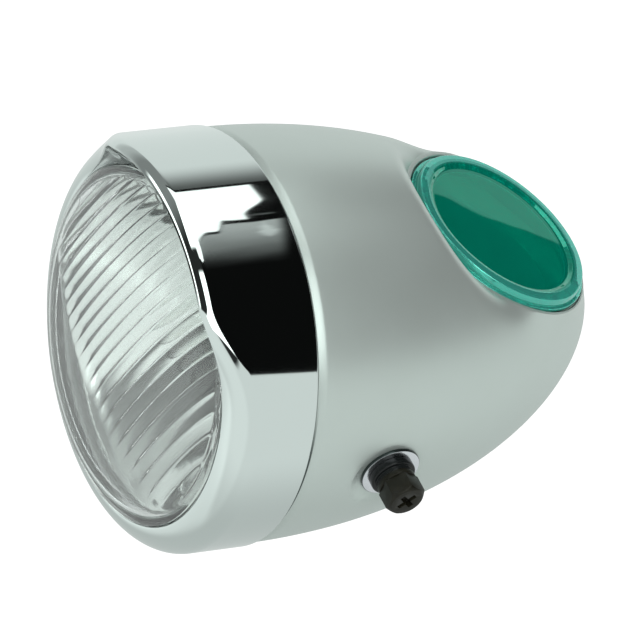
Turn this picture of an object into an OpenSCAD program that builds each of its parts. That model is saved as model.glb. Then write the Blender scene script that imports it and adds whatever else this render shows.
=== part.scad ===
// Round motorcycle headlight: peaked rim, fluted lens, egg-shaped shell.
// The lens faces -Y and +Z is up. The origin is where the line through both
// side bolts, along X, crosses the axis of the lamp. Units are millimetres.
// Turned pieces are drawn as [radius, distance in front of the side bolts].

/* [Rim] */
// Outside radius of the rim
rim_r = 57.5; // [52:0.5:70]
// Sheet thickness of the rim
rim_wall = 0.8; // [0.6:0.1:1.2]
// Rim's back edge, measured forward of the side bolts
rim_back = 30.3; // [28:0.1:36]
// Length of the rim from its back edge to the lens opening
rim_length = 24.3; // [22:0.1:30]
// Radius of the rounded lip round the lens
lip_round = 8.3; // [7:0.1:10]
// How far the peak stands in front of the lens opening
peak_reach = 9.4; // [5:0.1:14]
// Half of the peak's width
peak_half_width = 44; // [38:0.5:46]
// Width over which each side of the peak falls back to the lip
peak_shoulder = 25; // [16:0.5:28]
// Rounding of the peak's edge
peak_edge_round = 1.6; // [1:0.1:2.5]
// Depth of the seat edge turned in round the lens
seat_turn_in = 2.4; // [2:0.1:3]

/* [Shell] */
// Length of the shell from the rim to its tail
shell_length = 113.4; // [100:0.2:140]
// Sheet thickness of the shell
shell_wall = 0.9; // [0.7:0.1:1.4]
// How much smaller the shell is than the rim at the joint
joint_step = 0.7; // [0.5:0.05:1]
// Length of the neck that goes inside the rim
neck_length = 10; // [9:0.1:11]
// How full the shell's sides stay towards the tail
shell_fullness = 2.11; // [1.9:0.01:2.5]
// How round the shell's tail is
tail_roundness = 1.805; // [1.7:0.005:2]

/* [Lens] */
// Height of the lens dome
dome_height = 9.5; // [6:0.1:14]
// Glass thickness
glass = 3; // [2.4:0.1:3.6]
// Distance between flutes
flute_pitch = 4; // [3:0.1:6]
// Width of one flute
flute_width = 2; // [1.2:0.1:2.6]
// Height of one flute
flute_depth = 1.1; // [0.6:0.1:1.6]
// Angle at which the lens is clocked in the rim
flute_angle = 15; // [-30:1:30]
// Width of the plain border round the flutes
flute_border = 5.7; // [4:0.1:10]
// Where the flutes end below the middle of the lens
flute_end = 17; // [8:0.5:34]

/* [Cap] */
// How far the cap's upper ring stands out of its barrel
cap_flange = 3.6; // [3:0.1:5]
// Radius of the cap's barrel
barrel_r = 23.8; // [20:0.1:24]
// Length of the cap's barrel below its flange
barrel_length = 9; // [6:0.5:12]
// Distance from the cap's barrel to the shell's tail
cap_to_tail = 10.2; // [8:0.1:16]
// How far the cap stands over the level where its seat is as wide as the shell
cap_stand = 5.36; // [4:0.02:7]
// Backward lean of the cap
cap_lean = 18.8; // [12:0.1:24]
// Height of the cap's upper ring
cap_ring_height = 2; // [1.5:0.1:3]
// Depth of the cap's face below its upper ring
cap_face_depth = 0.9; // [0.5:0.1:1.2]
// Thickness of the lip under the ring
cap_lip = 1.2; // [0.8:0.1:1.6]
// How far the lip stands out of the ring
cap_lip_step = 1; // [0.6:0.1:1.2]
// Wall thickness of the cap's mouldings
cap_wall = 1.6; // [1.2:0.1:2.2]
// Thickness of the seal under the cap
cap_seal = 0.8; // [0.5:0.1:1.5]

/* [Side fixings] */
// Radius of a side bolt's thread
bolt_r = 3; // [2.5:0.5:4]
// Width of a bolt's head across its flats
bolt_flats = 10; // [8:0.1:12]
// Height of a bolt's head
bolt_head = 5.9; // [4:0.1:7]
// Length of a bolt under its head
bolt_length = 14; // [12:0.5:20]
// Radius of the bright washer on the shell
seat_washer_r = 8.5; // [8:0.1:10]
// Thickness of the bright washer
seat_washer = 1; // [0.8:0.1:1.5]
// Radius of the black collar
collar_r = 6.35; // [6:0.05:8]
// Thickness of the black collar
collar = 3.2; // [2.4:0.1:5]
// Thickness of the spring washer
spring_washer = 1.6; // [1:0.1:2]
// Thickness of the nut welded inside the shell
side_nut = 5; // [4:0.1:6]

/* [Optics] */
// Distance between the reflector's bottom and its focus
focal_length = 17; // [14:0.5:20]
// Sheet thickness of the reflector
reflector_wall = 0.8; // [0.5:0.1:1]
// Thickness of the gasket between lens and reflector
lens_seal = 1.5; // [1:0.1:2]
// Radius of the bulb's globe
globe_r = 12.5; // [10:0.1:14]
// Radius of the bulb's cap
bulb_cap_r = 7.5; // [7:0.1:8.5]
// Length of the bulb's cap
bulb_cap_length = 11; // [9:0.5:13]

/* [Cable hole] */
// Distance from the cable hole to the shell's tail
cable_to_tail = 53.1; // [46:0.1:60]
// Radius of the grommet's bore
cable_r = 3; // [2:0.1:4]
// Wall of the grommet round its bore
grommet_wall = 2; // [1.5:0.1:2.5]

/* [Hidden] */

// Clearances and small steps that several pieces share
gap = 0.3;
slip = 0.1;
touch = 0.02;
cut = 1;
fine = 96;
small = 48;
two_sides = [1, -1];

// Places along the lamp's axis, forward of the side bolts
lens_front = rim_back + rim_length;
seat_front = lens_front - seat_turn_in;
flange_front = seat_front - slip;
flange_back = flange_front - glass - 0.5;
reflector_front = flange_back - lens_seal;
clip_front = reflector_front - reflector_wall;
neck_front = rim_back + neck_length;
joint = rim_back - gap;
joint_bead = 0.3;
tail_back = shell_length - rim_back;

// Radii that follow the rim
neck_clearance = 0.4;
lens_overlap = 3.6;
reflector_overlap = 1.4;
bowl_step = 0.7;
peak_foot_share = 0.2;
lens_open_r = rim_r - lip_round;
rim_inner_r = rim_r - rim_wall;
neck_r = rim_inner_r - neck_clearance;
neck_inner_r = neck_r - shell_wall;
shell_r = rim_r - joint_step;
lens_flange_r = lens_open_r + lens_overlap;
reflector_flange_r = lens_flange_r + reflector_overlap;
bowl_r = lens_open_r - bowl_step;
peak_foot = peak_foot_share * rim_r;

// Side pads
pad_border = 0.6;
pad_r = seat_washer_r + pad_border;
pad_slope = 3.4;
pad_depth = 3;
pad_x = shell_profile(-pad_r);
washer_x = pad_x + seat_washer;
collar_x = washer_x + collar;
head_x = collar_x + spring_washer;
bolt_hole_r = bolt_r + gap;
collar_lip_share = 0.65;
collar_lip = collar * collar_lip_share;
collar_groove = 1.1;
collar_neck_r = collar_r - collar_groove;
spring_washer_r = 5.4;

// Cap and its seat, from the top of the cap's ring downwards
cap_r = barrel_r + cap_flange;
ring_undercut = 0.2;
seat_clearance = 0.4;
lip_top = -cap_ring_height - ring_undercut;
lip_bottom = lip_top - cap_lip;
seat_floor = lip_bottom - cap_seal;
cap_lip_r = cap_r + cap_lip_step;
dish_r = cap_lip_r + seat_clearance;
collar_top = lip_top;
seat_edge_r = dish_r + shell_wall;
cap_back = tail_back - barrel_r - cap_to_tail;
shell_at_cap = shell_profile(-cap_back);
cap_height = sqrt(shell_at_cap * shell_at_cap - seat_edge_r * seat_edge_r) + cap_stand;
scoop_r = seat_edge_r + gap;
seat_top = collar_top + cut;
seat_hole_r = barrel_r + seat_clearance;
seat_skirt_run = 3.3;
seat_skirt_drop = 6.8;
scoop_run = 7.5;
scoop_rise = 9.8;
face_r = barrel_r - slip;
groove_depth = 0.5;
ring_wire_r = 0.8;
ring_z = seat_floor - shell_wall - ring_wire_r;

// Reflector, bulb and holder
globe_clearance = 0.6;
reflector_neck_length = 5;
holder_lip = 1.5;
holder_wall = 0.8;
bulb_play = 0.2;
bulb_overhang = 2.5;
contact_gap = 2;
bayonet_pin_place = 6;
bowl_depth = bowl_r * bowl_r / (4 * focal_length);
bowl_bottom = reflector_front - bowl_depth;
focus = bowl_bottom + focal_length;
reflector_neck_r = globe_r + globe_clearance;
neck_start = bowl_bottom + reflector_neck_r * reflector_neck_r / (4 * focal_length);
holder_flange_front = neck_start - reflector_neck_length;
holder_flange = 0.8;
holder_flange_r = reflector_neck_r + holder_lip;
holder_inner_r = bulb_cap_r + bulb_play;
holder_outer_r = holder_inner_r + holder_wall;
bulb_back = holder_flange_front - bulb_overhang;
bulb_cap_front = bulb_back + bulb_cap_length;
bayonet_pin_r = 1;
bayonet_pin_f = bulb_back + bayonet_pin_place;
bayonet_pin_out = 1.5;
plate_thick = 2;
plate_front = bulb_back - contact_gap;
pin_r = 1.2;
pin_x = 3.5;
pin_back = plate_front - plate_thick - contact_gap;
blade_w = 6.3;
blade_t = 0.8;
blade_l = 8;
sleeve_back = plate_front - plate_thick - holder_wall;

// Rim screw and hook
screw_r = 2;
screw_head_r = 4;
screw_head = 2.4;
screw_f = rim_back + 5;
screw_length = 9;
thread_play = 0.15;
screw_hole_r = screw_r + thread_play;
nut_plate_half = 5;
nut_plate = 1;
nut_boss_r = 4;
nut_boss = 3;
hook_sheet = 1;
hook_angle = 12;
hook_reach = 4;
hook_weld = 4;
clip_angle = 14;
clip_sheet = 0.6;
clip_arm = 5;
clip_grip = 3.2;
clip_foot_r = reflector_flange_r - clip_grip;

// Cable grommet
grommet_border = 3.2;
cable_back = tail_back - cable_to_tail;
cable_hole_r = cable_r + grommet_wall;
cable_pad_r = cable_hole_r + grommet_border;
cable_z = -shell_profile(-cable_back);
cable_slope = atan((shell_profile(-cable_back + 1) - shell_profile(-cable_back - 1)) / 2);
cable_flat = 1;
grommet_flange = 1.4;
grommet_sleeve = 3;

// Radius of the shell's outside at a distance f forward of the side bolts
function shell_profile(f) =
    shell_r * pow(1 - pow((rim_back - f) / shell_length, shell_fullness), 1 / tail_roundness);

// Points along an arc, from angle a to angle b
function arc(centre, r, a, b, steps = 10) =
    [for (i = [0:steps]) centre + r * [cos(a + (b - a) * i / steps), sin(a + (b - a) * i / steps)]];

// Outline of the shell, drawn in by t all round
function egg_outline(t, steps = 20) =
    [for (i = [0:steps]) let (u = sin(90 * i / steps))
        [max(0, shell_r * pow(1 - pow(u, shell_fullness), 1 / tail_roundness) - t),
         rim_back - (shell_length - t) * u]];

// Height of the lens dome at radius r
function dome(r) = dome_height * pow(max(0, 1 - pow(r / lens_open_r, 1.88)), 0.6);

// Front outline of the peak seen from above, drawn in by t
function peak_outline(t, steps = 40) =
    [for (i = [0:steps])
        let (x = (2 * i / steps - 1) * (peak_half_width + peak_shoulder / 2),
             fall = min(1, max(0, 0.5 + (abs(x) - peak_half_width) / peak_shoulder)))
        [x * (1 - t / peak_half_width),
         lens_front + peak_reach - t - (peak_reach + lip_round) * (1 - cos(180 * fall)) / 2]];

// A solid turned about the lamp's axis from [radius, forward] points
module turned(points) {
    rotate([90, 0, 0]) rotate_extrude($fn = fine) polygon(points);
}

// A strip that follows the rim's curve, centred on a direction round the axis
module curved_strip(points, direction, angle) {
    rotate([0, -direction, 0]) rotate([90, 0, 0]) rotate([0, 0, -angle / 2])
        rotate_extrude(angle = angle, $fn = fine) polygon(points);
}

// A plain ring or disc between two distances forward of the side bolts
module ring(outer, inner, front, back) {
    turned([[inner, back], [outer, back], [outer, front], [inner, front]]);
}

// Places a child at each side, with its Z axis pointing out of the lamp
module both_sides() {
    for (side = two_sides) rotate([0, side * 90, 0]) children();
}

// Places a child on the cap's axis, with Z pointing out of the shell
module at_cap() {
    translate([0, cap_back, cap_height]) rotate([-cap_lean, 0, 0]) children();
}

// Places a child in the cable hole, with Z pointing out of the shell
module at_cable() {
    translate([0, cable_back, cable_z]) rotate([180 + cable_slope, 0, 0]) children();
}

// The dish that the cap sits in, and the room in front of it, seen from outside
module seat_scoop() {
    at_cap() rotate_extrude($fn = fine) polygon([
        [0, seat_floor], [dish_r, seat_floor], [dish_r, collar_top], [scoop_r, collar_top],
        [scoop_r + 2 * scoop_run, collar_top + 2 * scoop_rise], [0, collar_top + 2 * scoop_rise]]);
}

// The same room grown by the sheet's thickness, for the shell's inside
module seat_scoop_inside() {
    inside_r = scoop_r + shell_wall;
    at_cap() rotate_extrude($fn = fine) polygon([
        [0, seat_floor - shell_wall], [inside_r, seat_floor - shell_wall], [inside_r, collar_top],
        [inside_r + 2 * scoop_run, collar_top + 2 * scoop_rise], [0, collar_top + 2 * scoop_rise]]);
}

// The raised boss under the cap's seat, drawn in by t
module seat_boss(t) {
    at_cap() rotate_extrude($fn = fine) polygon([
        [0, seat_top], [seat_edge_r - t, seat_top], [seat_edge_r - t, collar_top],
        [seat_edge_r - t + seat_skirt_run, collar_top - seat_skirt_drop],
        [0, collar_top - seat_skirt_drop]]);
}

// Flattened pads at the bolts and the cable hole, with t of sheet left under them
module pad_cuts(t) {
    both_sides() translate([0, 0, pad_x - t])
        cylinder(r1 = pad_r + t, r2 = pad_r + t + pad_slope, h = pad_depth + t, $fn = fine);
    at_cable() translate([0, 0, -cable_flat - t])
        cylinder(r1 = cable_pad_r + t, r2 = cable_pad_r + t + pad_slope, h = pad_depth + t, $fn = small);
}

module shell() {
    color("#b4bdb9") difference() {
        union() {
            difference() {
                union() {
                    turned(concat([[0, joint], [shell_r - joint_bead, joint]],
                        [for (p = egg_outline(0)) if (p.y < joint - 0.8) p]));
                    seat_boss(0);
                }
                seat_scoop();
                pad_cuts(0);
                difference() {
                    union() {
                        turned(concat([[0, rim_back], [shell_r - shell_wall, rim_back]],
                            [for (p = egg_outline(shell_wall)) if (p.y < joint - cut) p]));
                        seat_boss(shell_wall);
                    }
                    seat_scoop_inside();
                    pad_cuts(shell_wall);
                }
            }
            ring(neck_r, neck_inner_r, neck_front, joint - 1.5);
        }
        both_sides() cylinder(r = bolt_hole_r, h = rim_r, $fn = small);
        at_cable() cylinder(r = cable_hole_r, h = 2 * cable_pad_r, center = true, $fn = small);
        at_cap() translate([0, 0, seat_floor - seat_skirt_drop])
            cylinder(r = seat_hole_r, h = 2 * seat_skirt_drop, $fn = fine);
        translate([0, -screw_f, -rim_r]) cylinder(r = screw_hole_r, h = screw_length, $fn = small);
    }
}

// The peak's wedge, drawn in by t
module peak(t) {
    tip = lens_front + peak_reach - t;
    edge = peak_edge_round - t / 2;
    outline_end = (peak_half_width + peak_shoulder / 2) * (1 - t / peak_half_width);
    intersection() {
        turned(concat([[lens_open_r + t, rim_back], [rim_r - t, rim_back]],
            arc([rim_r - t - edge, tip - edge], edge, 0, 90, 6),
            [[lens_open_r + t, lens_front - t]]));
        translate([0, 0, peak_foot]) linear_extrude(height = rim_r)
            polygon(concat([for (p = peak_outline(t)) [p.x, -p.y]],
                [[outline_end, -rim_back - cut], [-outline_end, -rim_back - cut]]));
    }
}

module rim() {
    lip_centre = [lens_open_r, lens_front - lip_round];
    color("#c9d2d0") difference() {
        union() {
            difference() {
                union() {
                    turned(concat([[0, rim_back], [rim_r, rim_back]],
                        arc(lip_centre, lip_round, 0, 90), [[0, lens_front]]));
                    peak(0);
                }
                turned(concat([[0, rim_back - cut], [rim_inner_r, rim_back - cut]],
                    arc(lip_centre, lip_round - rim_wall, 0, 90), [[0, lens_front - rim_wall]]));
                peak(rim_wall);
            }
            ring(lens_open_r + rim_wall, lens_open_r - cut, lens_front - rim_wall / 2, seat_front);
        }
        ring(lens_open_r, 0, lens_front + peak_reach, rim_back);
        translate([0, -screw_f, -rim_r - cut])
            cylinder(r = screw_hole_r, h = screw_length, $fn = small);
    }
}

module lens() {
    rim_of_dome = lens_open_r - gap;
    inner_r = lens_open_r - glass - 0.4;
    flute_r = lens_open_r - flute_border;
    steps = 14;
    outside = [for (i = [0:steps]) let (r = rim_of_dome * cos(90 * i / steps)) [r, lens_front + dome(r)]];
    inside = [for (i = [0:steps]) let (r = inner_r * sin(90 * i / steps))
        [r, lens_front - glass + dome(r * lens_open_r / inner_r)]];
    color("#cfdcd8") union() {
        turned(concat([[inner_r, flange_back], [lens_flange_r, flange_back],
            [lens_flange_r, flange_front], [rim_of_dome, flange_front]], outside, inside));
        intersection() {
            turned(concat([for (p = inside) if (p.x <= flute_r) [p.x, p.y + glass / 3]],
                [[flute_r, lens_front - glass + dome(flute_r * lens_open_r / inner_r) + glass / 3],
                 [flute_r, lens_front - glass + dome(flute_r * lens_open_r / inner_r) - flute_depth]],
                [for (i = [steps:-1:0]) if (inside[i].x <= flute_r)
                    [inside[i].x, inside[i].y - flute_depth]]));
            rotate([0, flute_angle, 0]) for (x = [-flute_r:flute_pitch:flute_r])
                translate([x - flute_width / 2, -lens_front - dome_height, -flute_end])
                    cube([flute_width, glass + dome_height, flute_end + flute_r]);
        }
    }
}

module lens_gasket() {
    color("#2c2c2a") ring(lens_flange_r, bowl_r + 1.5, flange_back, reflector_front);
}

// Half section of the reflector's bowl, from its flange to its neck
function bowl_outline(t, steps = 16) =
    [for (i = [0:steps]) let (r = bowl_r + (reflector_neck_r - bowl_r) * i / steps)
        [r + t, bowl_bottom + r * r / (4 * focal_length) - t / 3]];

module reflector() {
    inside = bowl_outline(0);
    outside = bowl_outline(reflector_wall);
    last = len(inside) - 1;
    color("#d9dcdc") turned(concat(
        [[reflector_flange_r, reflector_front], [bowl_r, reflector_front]], inside,
        [[reflector_neck_r, holder_flange_front], [reflector_neck_r + reflector_wall, holder_flange_front]],
        [for (i = [last:-1:1]) outside[i]],
        [[bowl_r + reflector_wall, clip_front], [reflector_flange_r, clip_front]]));
}

module retaining_clips() {
    outer = rim_inner_r - slip;
    front = clip_front - touch;
    color("#8f9490") for (direction = [45:90:315])
        curved_strip([[clip_foot_r, front - clip_sheet], [outer - clip_sheet, front - clip_sheet],
            [outer - clip_sheet, front - clip_arm], [outer, front - clip_arm],
            [outer, front], [clip_foot_r, front]], direction, clip_angle);
}

module bulb() {
    shoulder_r = bulb_cap_r - 0.6;
    globe_start = -acos(shoulder_r / globe_r);
    color("#dfe6e4") union() {
        turned(concat([[0, bulb_back], [bulb_cap_r, bulb_back], [bulb_cap_r, bulb_cap_front],
            [shoulder_r, bulb_cap_front]],
            arc([0, focus], globe_r, globe_start, 90, 18)));
        translate([0, -bayonet_pin_f, 0]) rotate([0, 90, 0])
            cylinder(r = bayonet_pin_r, h = 2 * (bulb_cap_r + bayonet_pin_out), center = true, $fn = small);
    }
}

module bulb_holder() {
    slot_w = 2 * bayonet_pin_r + 0.4;
    color("#b9a36a") difference() {
        union() {
            ring(holder_outer_r, holder_inner_r, bulb_cap_front - 1, sleeve_back);
            ring(holder_flange_r, holder_inner_r, holder_flange_front, holder_flange_front - holder_flange);
        }
        translate([-rim_r / 2, -bulb_cap_front, -slot_w / 2])
            cube([rim_r, bulb_cap_front - bayonet_pin_f + bayonet_pin_r + slip, slot_w]);
    }
}

module contact_plate() {
    color("#6b4a2c") difference() {
        ring(holder_inner_r - 0.05, 0, plate_front, plate_front - plate_thick);
        for (side = two_sides) translate([side * pin_x, -plate_front - cut, 0]) rotate([-90, 0, 0])
            cylinder(r = pin_r + 0.05, h = plate_thick + 2 * cut, $fn = small);
    }
}

module contact_pins() {
    color("#c9a24a") for (side = two_sides) translate([side * pin_x, -bulb_back, 0]) rotate([-90, 0, 0])
        cylinder(r = pin_r, h = bulb_back - pin_back, $fn = small);
}

module terminal_tabs() {
    color("#d2b466") for (side = two_sides)
        translate([side * pin_x - blade_t / 2, -pin_back, -blade_w / 2])
            cube([blade_t, blade_l, blade_w]);
}

module earth_tab() {
    foot_back = holder_flange_front - holder_flange;
    color("#d2b466") union() {
        translate([-blade_w / 2, -foot_back, holder_outer_r + slip])
            cube([blade_w, blade_t, holder_flange_r - holder_outer_r - 2 * slip]);
        translate([-blade_w / 2, -foot_back, holder_flange_r - slip - blade_t])
            cube([blade_w, blade_l + blade_t, blade_t]);
    }
}

module speedometer_hole_cap() {
    face = -cap_face_depth;
    floor_z = face - cap_wall - 0.4;
    barrel_end = lip_bottom - barrel_length;
    color("#12876a") at_cap() rotate_extrude($fn = fine) polygon([
        [0, face], [face_r - 0.8, face], [face_r, 0], [cap_r - 0.7, 0], [cap_r, -0.6],
        [cap_r, -cap_ring_height], [cap_r - 0.4, lip_top], [cap_lip_r, lip_top],
        [cap_lip_r, lip_bottom], [barrel_r, lip_bottom],
        [barrel_r, ring_z + ring_wire_r], [barrel_r - groove_depth, ring_z + ring_wire_r],
        [barrel_r - groove_depth, ring_z - ring_wire_r], [barrel_r, ring_z - ring_wire_r],
        [barrel_r, barrel_end], [barrel_r - cap_wall, barrel_end],
        [barrel_r - cap_wall, floor_z], [0, floor_z]]);
}

module cap_gasket() {
    color("#3c4a44") at_cap() translate([0, 0, seat_floor]) difference() {
        cylinder(r = cap_lip_r - 0.3, h = cap_seal, $fn = fine);
        translate([0, 0, -cut]) cylinder(r = barrel_r + slip, h = cap_seal + 2 * cut, $fn = fine);
    }
}

module cap_spring_ring() {
    color("#9aa09c") at_cap() translate([0, 0, ring_z]) rotate_extrude($fn = fine)
        translate([barrel_r - groove_depth + ring_wire_r, 0]) circle(r = ring_wire_r, $fn = 24);
}

// A hexagon head with a cross recess, standing on z = 0
module hexagon_head() {
    head_r = bolt_flats / 2 / cos(30);
    recess_w = 1.5;
    recess_l = 5.6;
    recess_depth = 2.2;
    difference() {
        intersection() {
            cylinder(r = head_r, h = bolt_head, $fn = 6);
            rotate_extrude($fn = small) polygon([[0, 0], [head_r, 0], [head_r, bolt_head - 1],
                [bolt_flats / 2 - 0.4, bolt_head], [0, bolt_head]]);
        }
        for (turn = [45, 135]) rotate([0, 0, turn])
            translate([-recess_l / 2, -recess_w / 2, bolt_head - recess_depth])
                cube([recess_l, recess_w, recess_depth + cut]);
    }
}

module side_bolts() {
    color("#2b2a25") both_sides() translate([0, 0, head_x]) union() {
        hexagon_head();
        translate([0, 0, -bolt_length]) cylinder(r = bolt_r, h = bolt_length + cut, $fn = small);
    }
}

module side_spring_washers() {
    color("#26261f") both_sides() translate([0, 0, collar_x]) difference() {
        cylinder(r = spring_washer_r, h = spring_washer, $fn = small);
        translate([0, 0, -cut]) cylinder(r = bolt_r + slip, h = spring_washer + 2 * cut, $fn = small);
        translate([bolt_r / 2, -0.5, -cut]) cube([spring_washer_r, 1, spring_washer + 2 * cut]);
    }
}

module side_collars() {
    color("#20241f") both_sides() translate([0, 0, washer_x]) rotate_extrude($fn = small) polygon([
        [bolt_r + slip, 0], [collar_r - gap, 0], [collar_r, gap], [collar_r, collar_lip - gap],
        [collar_r - gap, collar_lip], [collar_neck_r, collar_lip], [collar_neck_r, collar],
        [bolt_r + slip, collar]]);
}

module side_seat_washers() {
    color("#cfd6d6") both_sides() translate([0, 0, pad_x]) rotate_extrude($fn = fine) polygon([
        [bolt_hole_r, 0], [seat_washer_r, 0], [seat_washer_r, seat_washer - gap],
        [seat_washer_r - gap, seat_washer], [bolt_hole_r, seat_washer]]);
}

module side_nuts() {
    nut_top = pad_x - shell_wall;
    color("#8f9490") both_sides() translate([0, 0, nut_top - side_nut]) difference() {
        cylinder(r = bolt_flats / 2 / cos(30), h = side_nut, $fn = 6);
        translate([0, 0, -cut]) cylinder(r = bolt_r + 0.05, h = side_nut + 2 * cut, $fn = small);
    }
}

module rim_hook() {
    outer = rim_inner_r - slip;
    inner = neck_inner_r - gap;
    back = neck_front + gap;
    color("#8f9490") curved_strip([
        [outer, back + hook_weld], [outer, back], [inner, back], [inner, neck_front - hook_reach],
        [inner - hook_sheet, neck_front - hook_reach], [inner - hook_sheet, back + hook_sheet],
        [outer - hook_sheet, back + hook_sheet], [outer - hook_sheet, back + hook_weld]], 90, hook_angle);
}

module rim_screw() {
    slot_w = 1;
    head_dome_r = 5;
    head_edge_angle = 48;
    color("#c2c8c6") translate([0, -screw_f, -rim_r]) rotate([180, 0, 0]) difference() {
        union() {
            rotate_extrude($fn = small) polygon(concat([[0, 0], [screw_head_r, 0]],
                arc([0, screw_head - head_dome_r], head_dome_r, head_edge_angle, 90, 6)));
            translate([0, 0, -screw_length]) cylinder(r = screw_r, h = screw_length + 0.5, $fn = small);
        }
        translate([-screw_head_r, -slot_w / 2, screw_head / 2])
            cube([2 * screw_head_r, slot_w, screw_head]);
    }
}

module rim_screw_nut() {
    outer = neck_inner_r - touch;
    inner = outer - nut_plate;
    back = screw_f - nut_plate_half;
    front = screw_f + nut_plate_half;
    color("#8f9490") difference() {
        union() {
            curved_strip([[inner, back], [outer, back], [outer, front], [inner, front]], 270, hook_angle);
            translate([0, -screw_f, -outer + nut_plate / 2])
                cylinder(r = nut_boss_r, h = nut_plate / 2 + nut_boss, $fn = small);
        }
        translate([0, -screw_f, -rim_r]) cylinder(r = screw_r + 0.05, h = screw_length + cut, $fn = small);
    }
}

module cable_grommet() {
    top = -cable_flat;
    bottom = top - shell_wall;
    flange_r = cable_pad_r - gap;
    color("#1d1f1e") at_cable() rotate_extrude($fn = small) polygon([
        [cable_r, bottom - grommet_flange], [flange_r - 1, bottom - grommet_flange], [flange_r - 1, bottom],
        [cable_hole_r - slip, bottom], [cable_hole_r - slip, top], [flange_r, top],
        [flange_r, top + grommet_flange - gap], [flange_r - gap, top + grommet_flange],
        [cable_hole_r, top + grommet_flange], [cable_hole_r - 0.5, top + grommet_flange + grommet_sleeve],
        [cable_r, top + grommet_flange + grommet_sleeve]]);
}

shell();
rim();
lens();
lens_gasket();
reflector();
retaining_clips();
bulb();
bulb_holder();
contact_plate();
contact_pins();
terminal_tabs();
earth_tab();
speedometer_hole_cap();
cap_gasket();
cap_spring_ring();
side_bolts();
side_spring_washers();
side_collars();
side_seat_washers();
side_nuts();
rim_hook();
rim_screw();
rim_screw_nut();
cable_grommet();
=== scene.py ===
"""Finish and studio for the round motorcycle headlight. Sizes are in millimetres, meshes in metres."""

import math

import bmesh
import bpy
import numpy as np
from mathutils import Matrix, Vector


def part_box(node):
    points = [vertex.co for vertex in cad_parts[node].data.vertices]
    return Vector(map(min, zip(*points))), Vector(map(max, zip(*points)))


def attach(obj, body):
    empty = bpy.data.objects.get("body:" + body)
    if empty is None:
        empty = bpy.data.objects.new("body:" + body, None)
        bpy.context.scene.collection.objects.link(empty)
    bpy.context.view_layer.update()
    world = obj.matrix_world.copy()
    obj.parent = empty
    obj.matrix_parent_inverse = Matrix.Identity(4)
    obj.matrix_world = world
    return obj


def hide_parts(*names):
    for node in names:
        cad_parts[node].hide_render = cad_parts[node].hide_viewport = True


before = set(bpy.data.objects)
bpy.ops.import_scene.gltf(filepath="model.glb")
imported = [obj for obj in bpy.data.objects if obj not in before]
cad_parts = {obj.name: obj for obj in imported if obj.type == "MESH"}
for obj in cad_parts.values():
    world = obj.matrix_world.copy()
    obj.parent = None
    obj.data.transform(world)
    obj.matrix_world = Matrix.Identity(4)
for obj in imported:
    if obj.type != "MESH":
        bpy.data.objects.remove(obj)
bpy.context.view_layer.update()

MM = 0.001


def low_end(node, axis):
    """Lowest coordinate of a CAD node along an axis, in millimetres."""
    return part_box(node)[0][axis] / MM


def high_end(node, axis):
    """Highest coordinate of a CAD node along an axis, in millimetres."""
    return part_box(node)[1][axis] / MM


# Rim
RIM_R = high_end("rim", 0)
RIM_BACK = -high_end("rim", 1)
PEAK_FRONT = -low_end("rim", 1)
RIM_SHEET = 0.8
LIP_ROUND = 8.3
LENS_FRONT = RIM_BACK + 24.3
LENS_OPEN_R = RIM_R - LIP_ROUND
LENS_SEAT = LENS_FRONT - 2.4
PEAK_HALF_WIDTH = 42.5
PEAK_SHOULDER = 25
PEAK_STRAIGHT = PEAK_FRONT - 4.7
PEAK_TIP = PEAK_FRONT - 0.9
PEAK_TIP_R = RIM_R - 1.2
PEAK_TIP_ANGLE = math.radians(35)
PEAK_EDGE_ROUND = 2.4
# Powers of the peak's fall for its tip's place and turn
TIP_IN_POWER = 1.43
TIP_BACK_POWER = 0.83
TIP_TURN_POWER = 0.85
RIM_SCREW_FORWARD = 5
RIM_SCREW_HOLE_R = 2.15

# Shell
SHELL_R = RIM_R - 0.7
SHELL_TAIL = high_end("shell", 1)
SHELL_LENGTH = SHELL_TAIL + RIM_BACK
NECK_FRONT = -low_end("shell", 1)
FULLNESS = 2.11
TAIL_ROUND = 1.805
SHELL_SHEET = 0.9
SHOULDER_START = RIM_BACK - 3.3
SHOULDER_END = RIM_BACK - 1.1
SHOULDER_DROP = 0.5
SHOULDER_POWER = 1.4
NECK_DROP = 0.9
# Limits of the painted shade line in the joint, behind the rim's edge and upward
JOINT_SHADE_END = (1.2, 1.4)
JOINT_SHADE_TOP = (10, 30)

# Cap and its seat, heights measured along the cap's axis
CAP_LEAN = math.radians(18.8)
CAP_AXIS = np.array([0.0, math.sin(CAP_LEAN), math.cos(CAP_LEAN)])
CAP_CENTRE = np.array([0.0, 49.1, 32.0])
CAP_FACE_R = 23.6
CAP_R = 27.4
CAP_LIP_R = 28.4
CAP_BARREL_R = 23.8
CAP_BARREL_END = -12.4
CAP_WALL = 1.6
SEAT_TOP = -2.2
SEAT_FLOOR = -4.2
SEAT_EDGE_R = 30.2
SEAT_DISH_R = 28.8
SEAT_HOLE_R = 24.2
COLLAR_LOWER = 1.2
COLLAR_NARROWER = 0.8
CAP_REAR = np.array([0.0, math.cos(CAP_LEAN), -math.sin(CAP_LEAN)])
POCKET_DEPTH = 8
POCKET_RUN = 12.4
FLARE_RUN = 9.0
UNDER_SEAT = 25
BLEND_POWER = 2.2

# Flat pads pressed into the shell
PAD_X = high_end("side_seat_washers", 0) - 1
WASHER_R = 8.5
PAD_R = WASHER_R + 0.6
PAD_SLOPE = 0.45
PAD_CURVE = 1.3
PAD_EDGE_ROUND = 0.35
PAD_DEEPEST = 12
CABLE_FLAT = 1
CABLE_PAD_R = 8.2
CABLE_BACK = 30.0
CABLE_R = 3
CABLE_HOLE_R = 5

# Side fixings
WASHER_X = PAD_X + 1
COLLAR_X = WASHER_X + 3.2
COLLAR_R = 6.35
BOLT_R = 3
BOLT_HOLE_R = BOLT_R + 0.3

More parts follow.
